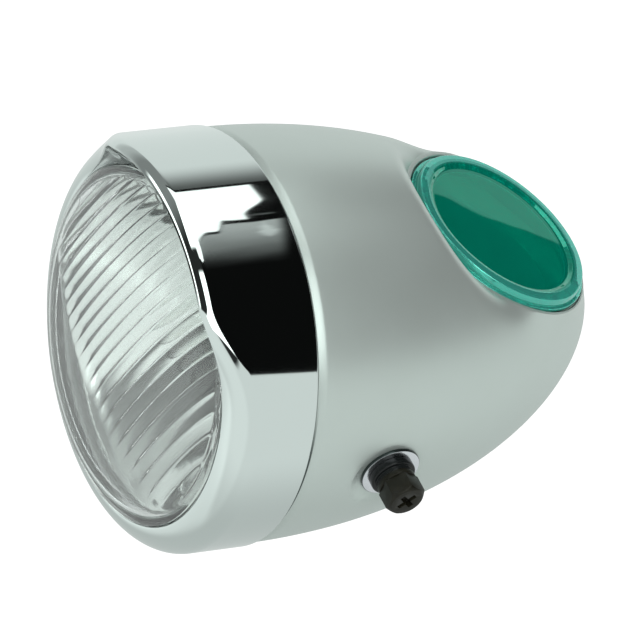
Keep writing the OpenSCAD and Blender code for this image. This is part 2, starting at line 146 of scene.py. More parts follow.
# Lens
LENS_TIP = -low_end("lens", 1)
LENS_BACK = -high_end("lens", 1)
LENS_FLANGE_R = high_end("lens", 0)
DOME_HEIGHT = LENS_TIP - LENS_FRONT
DOME_SHAPE = 1.88
DOME_EDGE = 0.6
GLASS = 3
FLUTE_PITCH = 4
FLUTE_DEPTH = 0.5
FLUTE_ROUNDNESS = 0.92
FLUTE_ANGLE = math.radians(15)
FLUTE_R = LENS_OPEN_R - 4.2
FLUTE_END = -19
# Lengths over which a flute sinks into the glass
FLUTE_TOP_FADE = 0.8
FLUTE_LOW_FADE = 4.5
FLUTE_END_FADE = 9

# Reflector and bulb
BOWL_FRONT = -low_end("reflector", 1)
BOWL_R = LENS_OPEN_R - 0.7
BOWL_FLANGE_R = high_end("reflector", 0)
FOCAL_LENGTH = 17
GLOBE_R = 12.5
BULB_BACK = -high_end("bulb", 1)
BULB_FRONT = -low_end("bulb", 1)
BULB_CAP_R = 7.5
BULB_CAP_LENGTH = 11
BULB_WALL = 0.5

# Camera: its direction seen from the lamp, as azimuth and elevation, and its roll
VIEW_AZIMUTH = math.radians(49.227)
VIEW_ELEVATION = math.radians(42.592)
VIEW_ROLL = math.radians(23.53)
VIEW_BACK = Vector((
    math.sin(VIEW_AZIMUTH) * math.cos(VIEW_ELEVATION),
    -math.cos(VIEW_AZIMUTH) * math.cos(VIEW_ELEVATION),
    math.sin(VIEW_ELEVATION),
))

# Studio
FLOOR_LEVEL = -1500
FLOOR_SIZE = 16000
FLOOR_GLOW = 0.45
WORLD_LIGHT = 0.72
BACKDROP_R = 1400
BACKDROP_TINT = (0.94, 1.0, 0.98)
# Name, place, size and power of each lamp
STUDIO_LAMPS = (
    ("key", (900, -200, 1150), 900, 10),
    ("fill", (-900, -900, 900), 900, 4),
)
# Light levels of the backdrop and panels
BELOW_LIGHT = 0.66
SIDE_LIGHT = 0.92
DARK_LIGHT = 0.005
DOORWAY_LIGHT = 0.015
DUSK_LIGHT = 0.12
SHADE_LIGHT = 0.6
GLOOM_LIGHT = 0.3
AHEAD_LIGHT = 0.03
LEFT_LIGHT = 0.6
STRIP_LIGHT = 3.2
WINDOW_LIGHT = 1.8
WALL_LIGHT = 0.55
SKY_LIGHT = 0.5
WINDOW_R = 300
# A patch of sky near the cap: the ways to it and across its edge
SKY_WAY = np.array([-0.5575, 0.794, 0.2436])
SKY_SIDE = (-0.557, -0.14, -0.819)
SKY_EDGE = -9.5
SKY_R = 34
SKY_FAR = 300


def smooth_step(value):
    """0 below 0, 1 above 1, and a smooth curve between."""
    t = np.clip(value, 0, 1)
    return t * t * (3 - 2 * t)


def soft_lesser(a, b, width):
    """The lesser of a and b, with the corner between them rounded over a width."""
    mix = np.clip(0.5 + (b - a) / (2 * width), 0, 1)
    return b + (a - b) * mix - width * mix * (1 - mix)


def frame_along(axis, origin):
    """Matrix whose Z axis points along an axis, with its origin at a place, in millimetres."""
    turn = Vector(axis).to_track_quat("Z", "Y").to_matrix().to_4x4()
    return Matrix.Translation(Vector(origin)) @ turn


LAMP = frame_along((0, -1, 0), (0, 0, 0))
AT_CAP = frame_along(CAP_AXIS, CAP_CENTRE)
LEFT = frame_along((1, 0, 0), (0, 0, 0))
RIGHT = frame_along((-1, 0, 0), (0, 0, 0))


class Value:
    """A shader socket that takes part in ordinary sums."""

    def __init__(self, tree, socket):
        self.tree = tree
        self.socket = socket
        self.node = socket.node

    def sum(self, operation, *others):
        node = self.tree.nodes.new("ShaderNodeMath")
        node.operation = operation
        for slot, value in zip(node.inputs, (self,) + others):
            put(self.tree, slot, value)
        return Value(self.tree, node.outputs[0])

    def __add__(self, other):
        return self.sum("ADD", other)

    def __sub__(self, other):
        return self.sum("SUBTRACT", other)

    def __mul__(self, other):
        return self.sum("MULTIPLY", other)

    def __rsub__(self, other):
        return (self * -1) + other

    __radd__ = __add__
    __rmul__ = __mul__

    def clipped(self):
        return self.sum("MINIMUM", 1).sum("MAXIMUM", 0)


def shown(tree):
    """1 for what the camera sees, also in metal and through glass, and 0 for the light on other things."""
    path = tree.nodes.new("ShaderNodeLightPath")
    names = ("Is Camera Ray", "Is Glossy Ray", "Is Transmission Ray")
    rays = [Value(tree, path.outputs[name]) for name in names]
    return (rays[0] + rays[1] + rays[2]).clipped()


def put(tree, slot, value):
    """Sets a socket to a number or colour, or links a value to it."""
    if isinstance(value, Value):
        tree.links.new(value.socket, slot)
    else:
        slot.default_value = value


def srgb(red, green, blue):
    """A colour given as 0 to 255 on screen, as the shader's linear colour."""

    def linear(level):
        level /= 255
        return level / 12.92 if level <= 0.04045 else ((level + 0.055) / 1.055) ** 2.4

    return (linear(red), linear(green), linear(blue), 1)


class Graph:
    """The node tree of a material."""

    def __init__(self, name):
        self.material = bpy.data.materials.new(name)
        self.material.use_nodes = True
        self.tree = self.material.node_tree
        self.place = self.node("TexCoord", output="Object")

    def node(self, kind, settings=None, output=0, numbered=None, **inputs):
        """Adds a node with settings, and values or links for its sockets by number or name."""
        node = self.tree.nodes.new("ShaderNode" + kind)
        for name, value in (settings or {}).items():
            setattr(node, name, value)
        for number, value in (numbered or {}).items():
            put(self.tree, node.inputs[number], value)
        for name, value in inputs.items():
            put(self.tree, node.inputs[name.replace("_", " ")], value)
        return Value(self.tree, node.outputs[output])

    def vector(self, operation, *vectors, output="Vector"):
        """Vector maths on one or two vectors."""
        return self.node("VectorMath", {"operation": operation}, output, dict(enumerate(vectors)))

    def split(self, vector):
        """The three parts of a vector."""
        parts = self.node("SeparateXYZ", numbered={0: vector}).node.outputs
        return [Value(self.tree, part) for part in parts]

    def mix(self, factor, first, second):
        """Number between two numbers."""
        return self.node("Mix", Factor=factor, A=first, B=second)

    def fall(self, value, low, high):
        """1 up to low, 0 from high, and a smooth curve between."""
        return 1 - self.rise(value, low, high)

    def rise(self, value, low, high):
        """0 up to low, 1 from high, and a smooth curve between."""
        smooth = {"interpolation_type": "SMOOTHSTEP"}
        return self.node("MapRange", smooth, Value=value, From_Min=low, From_Max=high)

    def band(self, value, start, full, fading, end):
        """1 from full to fading, 0 outside start and end, and smooth curves between."""
        return self.rise(value, start, full) * self.fall(value, fading, end)

    def noise(self, scale, detail=3, roughness=0.5):
        """Noise from 0 to 1, scale in features per millimetre."""
        return self.node("TexNoise", Vector=self.place, Scale=scale / MM, Detail=detail, Roughness=roughness)

    def sway(self, scale, reach, detail=3):
        """Noise about 0 that reaches from half below to half above."""
        return (self.noise(scale, detail) - 0.5) * reach

    def blend(self, factor, first, second):
        """Colour between two colours."""
        return self.node("Mix", {"data_type": "RGBA"}, 2, {0: factor, 6: first, 7: second})


class Finish(Graph):
    """A material with one Principled shader whose plain sockets are set as constants."""

    def __init__(self, name, **constants):
        super().__init__(name)
        self.shader = self.tree.nodes["Principled BSDF"]
        for socket, value in constants.items():
            self.shader.inputs[socket.replace("_", " ")].default_value = value

    def feed(self, socket, value):
        put(self.tree, self.shader.inputs[socket], value)

    def bump(self, height, distance, strength=1.0):
        """Bump whose height of 0 to 1 stands for a distance in millimetres."""
        self.feed("Normal", self.node("Bump", Height=height, Distance=distance * MM, Strength=strength))


def satin_silver_paint():
    """Silver paint, with a painted shade line in the lower half of the joint behind the rim."""
    finish = Finish("satin_silver_paint", Metallic=0.65, IOR=1.45)
    cloud = finish.noise(0.05, detail=4)
    flake = finish.noise(6.0, detail=1)
    x, y, z = finish.split(finish.place)
    # Painted shade: a thin dark line just behind the rim's edge, in the lower half, standing in for the
    # shadow in the joint.
    in_joint = finish.fall(y * (1 / MM) + RIM_BACK, *JOINT_SHADE_END)
    painted_joint_shade = in_joint * finish.fall(z * (1 / MM), *JOINT_SHADE_TOP)
    paint = finish.blend(cloud, srgb(184, 194, 189), srgb(190, 200, 196))
    finish.feed("Base Color", finish.blend(painted_joint_shade, paint, srgb(70, 78, 76)))
    finish.feed("Roughness", 0.36 + 0.06 * cloud)
    finish.bump(flake, 0.006)
    return finish.material


def mirror_metal(name, colour, scale, detail, least, more):
    """Polished metal, faintly smeared."""
    finish = Finish(name, Metallic=1.0, Base_Color=colour)
    finish.feed("Roughness", least + more * finish.noise(scale, detail))
    return finish.material


def lens_glass():
    finish = Finish("lens_glass", Base_Color=(0.955, 0.99, 0.975, 1), Transmission_Weight=0.94, IOR=1.5)
    ripple = finish.noise(0.25, detail=2)
    finish.feed("Roughness", 0.03 + 0.03 * ripple)
    finish.bump(ripple, 0.02)
    return finish.material


def green_moulding():
    """Clear green plastic, deep in the face and pale in the thin ring round it, the ring partly its thinner
    plastic's own tone and partly painted light shining through it.
    """
    finish = Finish("green_moulding", Metallic=0.25, Transmission_Weight=0.7, IOR=1.49)
    outward = finish.vector("SUBTRACT", finish.place, tuple(CAP_CENTRE * MM))
    across = finish.vector("CROSS_PRODUCT", outward, tuple(CAP_AXIS))
    radius = finish.vector("LENGTH", across, output="Value") * (1 / MM)
    cloud = finish.noise(0.08, detail=2)
    face = finish.blend(cloud, (0.0, 0.5, 0.33, 1), (0.0, 0.57, 0.38, 1))
    # The ring's pale colour is partly painted light, standing in for light shining through the thin plastic.
    in_ring = finish.rise(radius, CAP_FACE_R, CAP_FACE_R + 1)
    finish.feed("Base Color", finish.blend(in_ring, face, (0.11, 0.84, 0.68, 1)))
    finish.feed("Roughness", 0.005 + 0.015 * cloud)
    return finish.material


def mottled(name, colours, noise, least, more, relief, **constants):
    """A surface whose colour, roughness and height follow one noise."""
    finish = Finish(name, **constants)
    cloud = finish.noise(*noise)
    finish.feed("Base Color", finish.blend(cloud, *colours))
    finish.feed("Roughness", least + more * cloud)
    finish.bump(cloud, relief)
    return finish.material


def rubber(name, *colours):
    """Moulded rubber with a fine grain."""
    return mottled(name, colours, (1.5, 3), 0.6, 0.15, 0.02, IOR=1.5)


def dark_finish(name, roughness, *colours):
    """Blackened or moulded black surface with worn cloudiness."""
    dull = {"IOR": 1.5, "Specular_IOR_Level": 0.2}
    return mottled(name, colours, (0.6, 4), roughness, 0.12, 0.01, **dull)


def bare_metal(name, colour, darker, roughness):
    """Uncoated or plated metal with fine rubbing in its gloss."""
    finish = Finish(name, Metallic=1.0)
    cloud = finish.noise(0.3, detail=4)
    rub = finish.noise(2.5, detail=2)
    finish.feed("Base Color", finish.blend(cloud, colour, darker))
    finish.feed("Roughness", roughness + 0.12 * rub)
    finish.bump(rub, 0.004)
    return finish.material


def washer_zinc():
    """Bright plated washers, with painted shade darkening their outer edges."""
    finish = Finish("washer_zinc", Metallic=1.0)
    x, y, z = finish.split(finish.place)
    radius = (y * y + z * z).sum("SQRT") * (1 / MM)
    cloud = finish.noise(0.3, detail=4)
    face = finish.blend(cloud, (0.78, 0.79, 0.82, 1), (0.66, 0.68, 0.72, 1))
    # Painted shade: the outer edge turns dark, standing in for the shadow under each washer's rim.
    dull = finish.rise(radius, WASHER_R - 0.3, WASHER_R - 0.1)
    finish.feed("Base Color", finish.blend(dull, face, (0.05, 0.06, 0.06, 1)))
    finish.feed("Roughness", 0.12 + 0.1 * cloud)
    return finish.material


def bulb_glass():
    clear = (0.97, 0.98, 0.97, 1)
    finish = Finish("bulb_glass", Base_Color=clear, Transmission_Weight=1.0, IOR=1.5, Roughness=0.0)
    return finish.material


PAINT = satin_silver_paint()
CHROME = mirror_metal("chrome_plate", (0.64, 0.69, 0.675, 1), 0.12, 5, 0.02, 0.03)
CLEAR_GLASS = lens_glass()
SILVERING = mirror_metal("silvering", (0.93, 0.94, 0.93, 1), 0.3, 2, 0.05, 0.05)
GREEN = green_moulding()
RUBBER = rubber("black_rubber", (0.018, 0.019, 0.018, 1), (0.032, 0.033, 0.032, 1))
PALE_RUBBER = rubber("pale_rubber", (0.6, 0.63, 0.6, 1), (0.68, 0.7, 0.67, 1))
BULB_GLASS = bulb_glass()
ZINC = bare_metal("bright_zinc", (0.66, 0.7, 0.7, 1), (0.52, 0.56, 0.56, 1), 0.16)
WASHER_ZINC = washer_zinc()
SPRING_STEEL = bare_metal("spring_steel", (0.36, 0.36, 0.35, 1), (0.26, 0.26, 0.26, 1), 0.24)
BRASS = bare_metal("plated_brass", (0.62, 0.46, 0.2, 1), (0.5, 0.36, 0.15, 1), 0.2)
BLACK_STEEL = dark_finish("blackened_steel", 0.3, (0.003, 0.003, 0.002, 1), (0.016, 0.015, 0.008, 1))
BLACK_COLLAR = dark_finish("black_collar", 0.16, (0.003, 0.004, 0.004, 1), (0.009, 0.011, 0.011, 1))
PAPER_BROWNS = (0.12, 0.06, 0.025, 1), (0.2, 0.11, 0.05, 1)
PAPER = mottled("pressed_paper", PAPER_BROWNS, (1.0, 5, 0.7), 0.6, 0.2, 0.03, IOR=1.45)


def in_scene(name, data):
    """A new object, linked to the scene."""
    piece = bpy.data.objects.new(name, data)
    bpy.context.scene.collection.objects.link(piece)
    return piece


def from_arrays(name, places, faces, material, weld=0.002, smooth_angle=35):
    """A welded, smoothly shaded piece from corner places in millimetres and faces."""
    mesh_data = bpy.data.meshes.new(name)
    mesh_data.from_pydata((np.asarray(places) * MM).tolist(), [], faces)
    bm = bmesh.new()
    bm.from_mesh(mesh_data)
    bmesh.ops.remove_doubles(bm, verts=bm.verts, dist=weld * MM)
    bmesh.ops.dissolve_degenerate(bm, edges=bm.edges, dist=weld * MM / 4)
    loose = [edge for edge in bm.edges if not edge.link_faces]
    bmesh.ops.delete(bm, geom=loose, context="EDGES")
    bmesh.ops.recalc_face_normals(bm, faces=bm.faces)
    for face in bm.faces:
        face.smooth = True
    bm.to_mesh(mesh_data)
    bm.free()
    mesh_data.set_sharp_from_angle(angle=math.radians(smooth_angle))
    mesh_data.materials.append(material)
    return in_scene(name, mesh_data)


def quads(rows, columns, start=0):
    """Faces of a grid of rows, with its columns closed round."""
    faces = []
    for row in range(rows - 1):
        for column in range(columns):
            after = (column + 1) % columns
            a, b = start + row * columns, start + (row + 1) * columns
            faces.append((a + column, a + after, b + after, b + column))
    return faces


def bezier(first, one, two, last, steps):
    """Points of a cubic curve."""
    return [
        first * (1 - t) ** 3 + one * 3 * t * (1 - t) ** 2 + two * 3 * t * t * (1 - t) + last * t**3
        for t in np.linspace(0, 1, steps + 1)
    ]


def rounded(corners, steps=5):
    """Closed outline through corners given as (radius, height, rounding)."""
    outline = []
    count = len(corners)
    for index, (x, y, rounding) in enumerate(corners):
        here = np.array([x, y])
        before = np.array(corners[index - 1][:2]) - here
        after = np.array(corners[(index + 1) % count][:2]) - here
        if rounding <= 0:
            outline.append(here)
            continue
        to_before, to_after = np.linalg.norm(before), np.linalg.norm(after)
        before, after = before / to_before, after / to_after
        half = math.acos(np.clip(before @ after, -1, 1)) / 2
        length = min(rounding / math.tan(half), to_before * 0.49, to_after * 0.49)
        first, last = here + before * length, here + after * length
        pull = 4 / 3 * math.tan((math.pi / 2 - half) / 2) * math.tan(half)
        one, two = first + (here - first) * pull, last + (here - last) * pull
        outline.extend(bezier(first, one, two, last, steps))
    return outline


def swept(outline, angles):
    """Places of an outline of (radius, height) at each angle round the Z axis."""
    places = np.zeros((len(outline), len(angles), 3))
    places[..., 0] = outline[:, :1] * np.cos(angles)
    places[..., 1] = outline[:, :1] * np.sin(angles)
    places[..., 2] = outline[:, 1:]
    return places.reshape(-1, 3)


def turned(name, outline, place, material, columns=160):
    """A piece turned about the Z axis of a place, from a closed outline of (radius, height)."""
    outline = np.array(outline)
    outline = np.vstack([outline, outline[:1]])
    places = swept(outline, np.arange(columns) * math.tau / columns)
    matrix = np.array(place)
    places = places @ matrix[:3, :3].T + matrix[:3, 3]
    return from_arrays(name, places, quads(len(outline), columns), material)


def joined(name, *pieces):
    """Several pieces as one object that keeps each piece's material."""
    bm = bmesh.new()
    materials = []
    for piece in pieces:
        first = len(bm.faces)
        bm.from_mesh(piece.data)
        bm.faces.ensure_lookup_table()
        offset = len(materials)
        for face in bm.faces[first:]:
            face.material_index += offset
        materials.extend(piece.data.materials)
        bpy.data.objects.remove(piece)
    mesh_data = bpy.data.meshes.new(name)
    bm.to_mesh(mesh_data)
    bm.free()
    for material in materials:
        mesh_data.materials.append(material)
    return in_scene(name, mesh_data)


def fitted(piece, slot, *nodes):
    """Fixes a finished piece to the lamp in place of its CAD nodes."""
    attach(piece, "root")
    if nodes:
        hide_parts(*nodes)


def applied(piece):
    """Turns a piece's modifiers into its mesh."""
    evaluated = piece.evaluated_get(bpy.context.evaluated_depsgraph_get())
    finished = bpy.data.meshes.new_from_object(evaluated)
    piece.modifiers.clear()
    piece.data = finished


def with_soft_edges(node, material, edge_round):
    """A copy of a CAD node with rounded corners."""
    bm = bmesh.new()
    bm.from_mesh(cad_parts[node].data)
    bmesh.ops.remove_doubles(bm, verts=bm.verts, dist=0.002 * MM)
    bmesh.ops.dissolve_limit(bm, angle_limit=math.radians(1), verts=bm.verts, edges=bm.edges)
    mesh_data = bpy.data.meshes.new(node + "_finished")
    bm.to_mesh(mesh_data)
    bm.free()
    mesh_data.materials.append(material)
    piece = in_scene(node + "_finished", mesh_data)
    bevel = piece.modifiers.new("edges", "BEVEL")
    bevel.width = edge_round * MM
    bevel.segments = 2
    bevel.limit_method = "ANGLE"
    bevel.angle_limit = math.radians(30)
    applied(piece)
    for polygon in piece.data.polygons:
        polygon.use_smooth = True
    piece.data.set_sharp_from_angle(angle=math.radians(40))
    return piece


def egg_level(places):
    """Less than 1 inside the shell's egg shape, 1 on its surface."""
    across = np.hypot(places[..., 0], places[..., 2]) / SHELL_R
    along = np.clip((places[..., 1] + RIM_BACK) / SHELL_LENGTH, 0, None)
    return across**TAIL_ROUND + along**FULLNESS


def egg_hit(starts, toward):
    """Where rays from inside meet the egg shape."""
    near = np.zeros(toward.shape[:-1])
    far = np.full(toward.shape[:-1], 2 * SHELL_LENGTH)
    for _ in range(40):
        middle = (near + far) / 2
        inside = egg_level(starts + middle[..., None] * toward) < 1
        near, far = np.where(inside, middle, near), np.where(inside, far, middle)
    return starts + far[..., None] * toward


def unit(vectors):
    return vectors / np.linalg.norm(vectors, axis=-1, keepdims=True)


def directions_between_rings(front_angle, cap_angle, rows, columns):
    """Directions in rows that run from the cap's ring to the joint's ring.

    Both rings are circles as seen from one point. A pencil of circles fills the space
    between them, so that each row closes round and no cell is skewed.
    """
    between = math.pi / 2 + CAP_LEAN
    middle = between / 2
    angles = (-front_angle, front_angle, between - cap_angle, between + cap_angle)
    ends = [math.tan((angle - middle) / 2) for angle in angles]
    front_mid, front_half = (ends[0] + ends[1]) / 2, (ends[1] - ends[0]) / 2
    cap_mid, cap_half = (ends[2] + ends[3]) / 2, (ends[3] - ends[2]) / 2
    total = ((front_mid**2 - front_half**2) - (cap_mid**2 - cap_half**2)) / (front_mid - cap_mid)
    product = front_half**2 - front_mid**2 + front_mid * total
    root = math.sqrt(total**2 / 4 - product)
    front_focus, cap_focus = total / 2 - root, total / 2 + root

    def level(x):
        return math.log(abs((x - front_focus) / (x - cap_focus)))

    levels = np.linspace(level(ends[3]), level(ends[1]), rows)
    turns = (np.arange(columns) + 0.5) * math.tau / columns
    power = np.exp(levels[:, None] + 1j * turns[None])
    top, bottom = front_focus - cap_focus * power, 1 - power
    size = abs(top) ** 2 + abs(bottom) ** 2
    cross = 2 * top * bottom.conj() / size
    lift = (abs(bottom) ** 2 - abs(top) ** 2) / size
    ahead = np.array([0, -math.cos(middle), math.sin(middle)])
    over = np.array([0, math.sin(middle), math.cos(middle)])
    side = np.array([1.0, 0, 0])
    return lift[..., None] * ahead + cross.real[..., None] * over + cross.imag[..., None] * side


def pressed_flat(places, centre, axis, level, pad_r):
    """Presses a round flat into a surface, with a sloping border."""
    from_centre = places - centre
    height = from_centre @ axis
    beside = np.linalg.norm(from_centre - height[..., None] * axis, axis=-1)
    limit = level + PAD_SLOPE * np.clip(beside - pad_r, 0, None) ** PAD_CURVE
    near = (beside < 3 * pad_r) & (height > level - PAD_DEEPEST)
    lowered = np.where(near, soft_lesser(height, limit, PAD_EDGE_ROUND), height)
    return places + (lowered - height)[..., None] * axis


def cable_hole():
    """Place of the cable hole on the shell and the direction out of it."""
    steps = np.array([CABLE_BACK - 1, CABLE_BACK, CABLE_BACK + 1])
    starts = np.stack([0 * steps, steps, 0 * steps], axis=1)
    below = egg_hit(starts, np.tile([0.0, 0, -1], (3, 1)))
    slope = math.atan((below[2, 2] - below[0, 2]) / 2)
    return below[1], np.array([0, math.sin(slope), -math.cos(slope)])


def away_from_cap_axis(row):
    """Directions from the cap's axis to each place of a row."""
    from_centre = row - CAP_CENTRE
    return unit(from_centre - (from_centre @ CAP_AXIS)[..., None] * CAP_AXIS)


def about_cap(row, radius, height):
    """A ring round the cap's axis, with a row's own angles."""
    radius, height = np.broadcast_to(radius, len(row)), np.broadcast_to(height, len(row))
    return CAP_CENTRE + away_from_cap_axis(row) * radius[:, None] + CAP_AXIS * height[:, None]


def collar_edge(row):
    """Radius and height of the collar's edge in each column, less to the rear."""
    rear = smooth_step(away_from_cap_axis(row) @ CAP_REAR + 0.3)
    return SEAT_EDGE_R - COLLAR_NARROWER * rear, SEAT_TOP - COLLAR_LOWER * rear


def shell_outside(rows, columns):
    """The shell's outer surface in rows from the cap's seat to the joint."""
    on_axis = CAP_CENTRE[2] / math.cos(CAP_LEAN)
    eye = CAP_CENTRE - CAP_AXIS * on_axis
    front_angle = math.atan(SHELL_R / (eye[1] + SHOULDER_START))
    cap_angle = math.atan(SEAT_EDGE_R / (on_axis + SEAT_TOP))
    toward = directions_between_rings(front_angle, cap_angle, rows, columns)
    egg = egg_hit(eye, toward)
    seat_edge = eye + toward[0] * (SEAT_EDGE_R / math.sin(cap_angle))
    seat_edge = about_cap(seat_edge, *collar_edge(seat_edge))
    under_seat = egg_hit(seat_edge - UNDER_SEAT * CAP_AXIS, np.broadcast_to(CAP_AXIS, seat_edge.shape))
    share = np.linspace(1, 0, rows)[:, None, None] ** 3
    egg = egg_hit(eye, unit(egg + (under_seat - egg[0]) * share - eye))
    rise = (seat_edge - egg[0]) @ CAP_AXIS
    depth = np.clip(-rise / POCKET_DEPTH, 0, 1)
    run = FLARE_RUN + (POCKET_RUN - FLARE_RUN) * depth
    distance = np.linalg.norm(egg - egg[0], axis=-1)
    weight = np.clip(1 - distance / run, 0, 1) ** BLEND_POWER
    surface = egg + (weight * rise)[..., None] * CAP_AXIS
    for side in (1, -1):
        axis = np.array([float(side), 0, 0])
        surface = pressed_flat(surface, np.zeros(3), axis, PAD_X, PAD_R)
    centre, axis = cable_hole()
    return pressed_flat(surface, centre, axis, -CABLE_FLAT, CABLE_PAD_R)


def about_lamp(row, radius, forward):
    """A ring at a radius and distance forward, with a row's own angles."""
    across = unit(row * np.array([1.0, 0, 1]))
    return across * radius + np.array([0, -forward, 0])


def shoulder_rows(front, start_r):
    """Rows that bend the shell's front edge down to the neck."""
    rows = []
    for t in np.linspace(0, 1, 13)[1:]:
        forward = SHOULDER_START + (SHOULDER_END - SHOULDER_START) * t
        rows.append(about_lamp(front, start_r - SHOULDER_DROP * t**SHOULDER_POWER, forward))
    step = NECK_DROP - SHOULDER_DROP
    for angle in np.radians((15, 30, 45, 60, 75, 90)):
        radius = start_r - NECK_DROP + step * math.cos(angle)
        rows.append(about_lamp(front, radius, SHOULDER_END + step * math.sin(angle)))
    return rows


def neck_rows(front, neck_r):
    """Rows of the neck that goes inside the rim, outside first."""
    bore_r = neck_r - SHELL_SHEET
    corners = (
        (neck_r, NECK_FRONT - 0.2), (neck_r - 0.2, NECK_FRONT),
        (bore_r + 0.2, NECK_FRONT), (bore_r, NECK_FRONT - 0.2), (bore_r, SHOULDER_END),
    )
    return [about_lamp(front, radius, forward) for radius, forward in corners]


def inner_rows(outside):
    """Every third row of the shell's inner surface, from the joint to the cap's seat."""
    down = np.roll(outside, -1, axis=0) - np.roll(outside, 1, axis=0)
    down[0], down[-1] = outside[1] - outside[0], outside[-1] - outside[-2]
    round_about = np.roll(outside, -1, axis=1) - np.roll(outside, 1, axis=1)
    inward = unit(np.cross(down, round_about))
    middle = len(outside) // 2
    if (inward[middle, 0] @ outside[middle, 0]) > 0:
        inward = -inward
    return list((outside + SHELL_SHEET * inward)[::-3])


def dish_rows(seat):
    """Rows of the cap's seat from under its floor, through the hole and up to the collar's edge."""
    edge, top = collar_edge(seat)
    under = SEAT_FLOOR - SHELL_SHEET
    corners = (
        (SEAT_HOLE_R + 4.5, under), (SEAT_HOLE_R + 0.2, under), (SEAT_HOLE_R, under + 0.2),
        (SEAT_HOLE_R, SEAT_FLOOR - 0.2), (SEAT_HOLE_R + 0.2, SEAT_FLOOR),
        (SEAT_DISH_R - 0.3, SEAT_FLOOR), (SEAT_DISH_R, SEAT_FLOOR + 0.3), (SEAT_DISH_R, top - 0.35),
        (SEAT_DISH_R + 0.08, top - 0.1), (SEAT_DISH_R + 0.25, top + 0.04),
        (edge - 0.25, top + 0.05), (edge - 0.1, top + 0.03),
    )
    return [about_cap(seat, radius, height) for radius, height in corners]


def shell_grid(rows, columns):
    """All rows of the shell's closed sheet, outside first and inside after."""
    outside = shell_outside(rows, columns)
    front, seat = outside[-1], outside[0]
    start_r = np.hypot(front[:, 0], front[:, 2]).mean()
    edge = shoulder_rows(front, start_r) + neck_rows(front, start_r - NECK_DROP)
    return list(outside) + edge + inner_rows(outside) + dish_rows(seat)


def bored(piece, place, radius, length):
    """Cuts a round hole along the Z axis of a place, from its origin outward both ways."""
    outline = [(0, -length), (radius, -length), (radius, length), (0, length)]
    cutter = turned("cutter", outline, place, PAINT, columns=48)
    cut = piece.modifiers.new("hole", "BOOLEAN")
    cut.operation = "DIFFERENCE"
    cut.solver = "MANIFOLD"
    cut.object = cutter
    applied(piece)
    bpy.data.objects.remove(cutter)


def make_shell():
    rows, columns = 120, 320
    grid = shell_grid(rows, columns)
    grid.append(grid[0])
    places = np.array(grid).reshape(-1, 3)
    shell = from_arrays("pressed_shell", places, quads(len(grid), columns), PAINT)
    centre, axis = cable_hole()
    bored(shell, frame_along(axis, centre), CABLE_HOLE_R, 8)
    for side in (1, -1):
        bored(shell, frame_along((side, 0, 0), (side * PAD_X, 0, 0)), BOLT_HOLE_R, 6)
    fitted(shell, "shell_paint", "shell")


def peak_fall(angle):
    """0 where the peak stands in full, 1 where only the lip is left."""
    across = RIM_R * math.sin(min(abs(angle), math.pi / 2))
    fall = np.clip(0.5 + (across - PEAK_HALF_WIDTH) / PEAK_SHOULDER, 0, 1)
    return (1 - math.cos(math.pi * fall)) / 2


def nose_curve(start, end, end_angle, steps):
    """The band's bend: leaves start straight ahead and arrives at end turned inward by an angle."""
    pull = 0.36 * np.linalg.norm(end - start)
    arriving = np.array([-math.sin(end_angle), math.cos(end_angle)])
    return bezier(start, start + pull * np.array([0, 1]), end - pull * arriving, end, steps)


def rim_section(angle):
    """Closed outline of the rim's sheet at an angle from the top, as (radius, forward).

    The band bends into a nose, turns round a thin edge and slopes back to the lens. Where the
    peak has fallen, the nose grows into the plain rounded lip and the slope vanishes.
    """
    fall = peak_fall(angle)
    straight_end = PEAK_STRAIGHT + (LENS_FRONT - LIP_ROUND - PEAK_STRAIGHT) * fall
    edge = np.array([LENS_OPEN_R + 0.35, LENS_FRONT])
    tip = np.array([PEAK_TIP_R, PEAK_TIP])
    tip += (edge - tip) * np.array([fall**TIP_IN_POWER, fall**TIP_BACK_POWER])
    tip_angle = PEAK_TIP_ANGLE + (math.pi / 2 - PEAK_TIP_ANGLE) * fall**TIP_TURN_POWER
    start = np.array([RIM_R, straight_end])
    slope = edge - tip
    length = np.linalg.norm(slope)
    back = slope / length if length > 0.01 else np.array([-0.8, -0.6])
    turn = min(PEAK_EDGE_ROUND, length / 2)
    onward = np.array([-math.sin(tip_angle), math.cos(tip_angle)])
    after = tip + back * turn
    middle = (RIM_BACK + straight_end) / 2
    levels = (RIM_BACK + 0.25, RIM_BACK + 0.5, middle, straight_end - 0.4)
    outer = [(RIM_R - 0.25, RIM_BACK), (RIM_R - 0.07, RIM_BACK + 0.07)]
    outer += [(RIM_R, level) for level in levels]
    outer += nose_curve(start, tip, tip_angle, 22)
    outer += bezier(tip, tip + onward * turn / 2, after - back * turn / 2, after, 6)[1:]
    outer += [after + (edge - after) * t for t in (0.33, 0.67, 1)]
    inner_r = LENS_OPEN_R + RIM_SHEET
    roll = [
        (LENS_OPEN_R + 0.1, LENS_FRONT - 0.1), (LENS_OPEN_R, LENS_FRONT - 0.35),
        (LENS_OPEN_R, LENS_SEAT), (inner_r, LENS_SEAT), (inner_r, LENS_FRONT - RIM_SHEET),
    ]
    outward = np.array([math.cos(tip_angle), math.sin(tip_angle)])
    corner = unit(outward + np.array([back[1], -back[0]]))
    inner_tip = tip - corner * RIM_SHEET / max(corner @ outward, 0.4)
    inner = nose_curve(start - np.array([RIM_SHEET, 0.2]), inner_tip, tip_angle, 8)
    back_edge = [(RIM_R - RIM_SHEET, RIM_BACK + 0.1), (RIM_R - 0.7, RIM_BACK)]
    return outer + roll + inner[::-1] + back_edge


